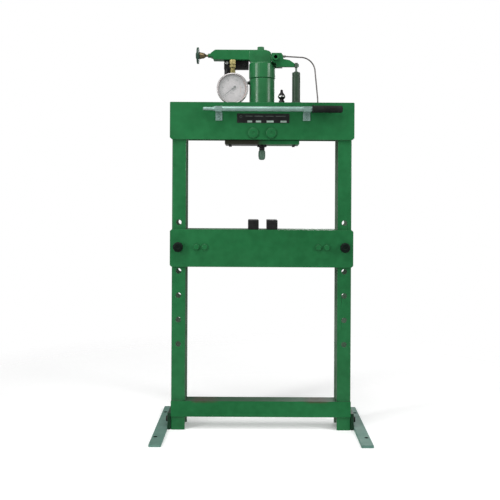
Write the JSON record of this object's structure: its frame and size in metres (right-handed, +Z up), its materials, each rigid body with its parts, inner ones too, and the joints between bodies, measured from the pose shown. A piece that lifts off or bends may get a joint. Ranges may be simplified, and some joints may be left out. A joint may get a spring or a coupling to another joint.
{
  "type": "hydraulic shop press",
  "caption": "Free-standing H-frame shop press with hand pump, pressure gauge, sprung ram, pinned height-adjustable bolster, loose press blocks and stored pump handle.",
  "frame": {"origin": "on the floor under the ram's axis, midway between the two feet; the feet reach 8 mm further from the middle on the operator's side", "axes": "+Z up along the ram's axis; +Y from the operator's side towards the back; +X to the operator's right along the beams"},
  "size_m": [0.7592, 0.47, 1.395],
  "materials": {
    "green_paint": "semi-gloss green enamel",
    "foot_paint": "dulled, lighter green enamel",
    "pump_paint": "semi-gloss dark grey-green enamel",
    "black_steel": "blackened steel, satin",
    "black_plastic": "moulded black plastic",
    "bright_steel": "bright plated or ground steel",
    "pipe_steel": "drawn grey steel tube",
    "brass": "machined brass, dulled",
    "black_rubber": "ribbed black rubber",
    "gauge_face": "pale enamelled sheet",
    "glass": "clear flat glass",
    "name_plate": "black enamelled plate"
  },
  "bodies": {
    "frame": {"left_upright": "green_paint", "right_upright": "green_paint", "crown_front_plate": "green_paint", "crown_rear_plate": "green_paint", "crown_top_plate": "green_paint", "cylinder_seat_block": "green_paint", "seat_bolt_left": "green_paint", "seat_bolt_right": "green_paint", "ram_retaining_plate": "green_paint", "name_plate": "name_plate", "lower_cross_member": "green_paint", "left_foot_bar": "foot_paint", "right_foot_bar": "foot_paint", "left_foot_bracket": "green_paint", "right_foot_bracket": "green_paint", "left_foot_bolt_front": "black_steel", "left_foot_bolt_rear": "black_steel", "right_foot_bolt_front": "black_steel", "right_foot_bolt_rear": "black_steel", "bolster_front_channel": "green_paint", "bolster_rear_channel": "green_paint", "bolster_left_spacer": "green_paint", "bolster_right_spacer": "green_paint", "bolster_left_tie_bolt_inner": "green_paint", "bolster_left_tie_bolt_outer": "green_paint", "bolster_right_tie_bolt_inner": "green_paint", "bolster_right_tie_bolt_outer": "green_paint", "cylinder_barrel": "bright_steel", "cylinder_gland": "brass", "reservoir_tube": "green_paint", "head_casting": "green_paint", "filler_plug": "green_paint", "return_spring": "black_steel", "manifold_arm": "green_paint", "relief_valve_block": "black_steel", "gauge_case": "gauge_face", "gauge_dial": "gauge_face", "gauge_glass": "glass", "gauge_stem": "brass", "pump_barrel": "pump_paint", "rocker_shaft": "bright_steel", "oil_pipe": "pipe_steel", "breather_cap": "black_steel", "left_handle_hook": "bright_steel", "right_handle_hook": "bright_steel"},
    "ram": {"ram_rod": "bright_steel", "piston": "bright_steel", "press_nose": "pump_paint"},
    "release_valve": {"release_valve": "green_paint"},
    "gauge_needle": {"gauge_needle": "black_steel"},
    "pump_rocker": {"pump_rocker": "green_paint"},
    "pump_plunger": {"pump_plunger": "bright_steel"},
    "left_pin": {"left_bolster_pin": "bright_steel", "left_pin_knob": "black_plastic"},
    "right_pin": {"right_bolster_pin": "bright_steel", "right_pin_knob": "black_plastic"},
    "left_block": {"left_press_block": "black_steel"},
    "right_block": {"right_press_block": "black_steel"},
    "pump_handle": {"pump_handle_bar": "bright_steel", "pump_handle_grip": "black_rubber"}
  },
  "joints": [
    {"name": "ram_slide", "type": "slide", "parent": "frame", "child": "ram", "axis": [0, 0, -1], "range_m": [0, 0.12], "stiffness_N_per_m": 400, "springref_m": -0.15, "deforming": ["return_spring"]},
    {"name": "release_valve_turn", "type": "hinge", "parent": "frame", "child": "release_valve", "pos_m": [-0.19, 0, 1.3625], "axis": [-1, 0, 0], "range_deg": [0, 360]},
    {"name": "gauge_needle_turn", "type": "hinge", "parent": "frame", "child": "gauge_needle", "pos_m": [-0.1085, -0.023, 1.238], "axis": [0, 1, 0], "range_deg": [0, 270], "stiffness_Nm_per_rad": 0.01, "springref_deg": -17.19},
    {"name": "pump_rocker_turn", "type": "hinge", "parent": "frame", "child": "pump_rocker", "pos_m": [0.0478, 0, 1.34], "axis": [1, 0, 0], "range_deg": [-14, 14]},
    {"name": "pump_plunger_slide", "type": "slide", "parent": "frame", "child": "pump_plunger", "axis": [0, 0, -1], "range_m": [-0.0085, 0.0085]},
    {"name": "left_pin_slide", "type": "slide", "parent": "frame", "child": "left_pin", "axis": [0, -1, 0], "range_m": [0, 0.15]},
    {"name": "right_pin_slide", "type": "slide", "parent": "frame", "child": "right_pin", "axis": [0, -1, 0], "range_m": [0, 0.15]},
    {"name": "left_block_slide", "type": "slide", "parent": "frame", "child": "left_block", "axis": [1, 0, 0], "range_m": [-0.2, 0.013]},
    {"name": "right_block_slide", "type": "slide", "parent": "frame", "child": "right_block", "axis": [1, 0, 0], "range_m": [-0.013, 0.2]},
    {"name": "pump_handle_lift", "type": "slide", "parent": "frame", "child": "pump_handle", "axis": [0, 0, 1], "range_m": [0, 0.12]}
  ],
  "couplings": [
    {"joint": "pump_plunger_slide", "follows": "pump_rocker_turn", "m_per_rad": 0.0317}
  ]
}
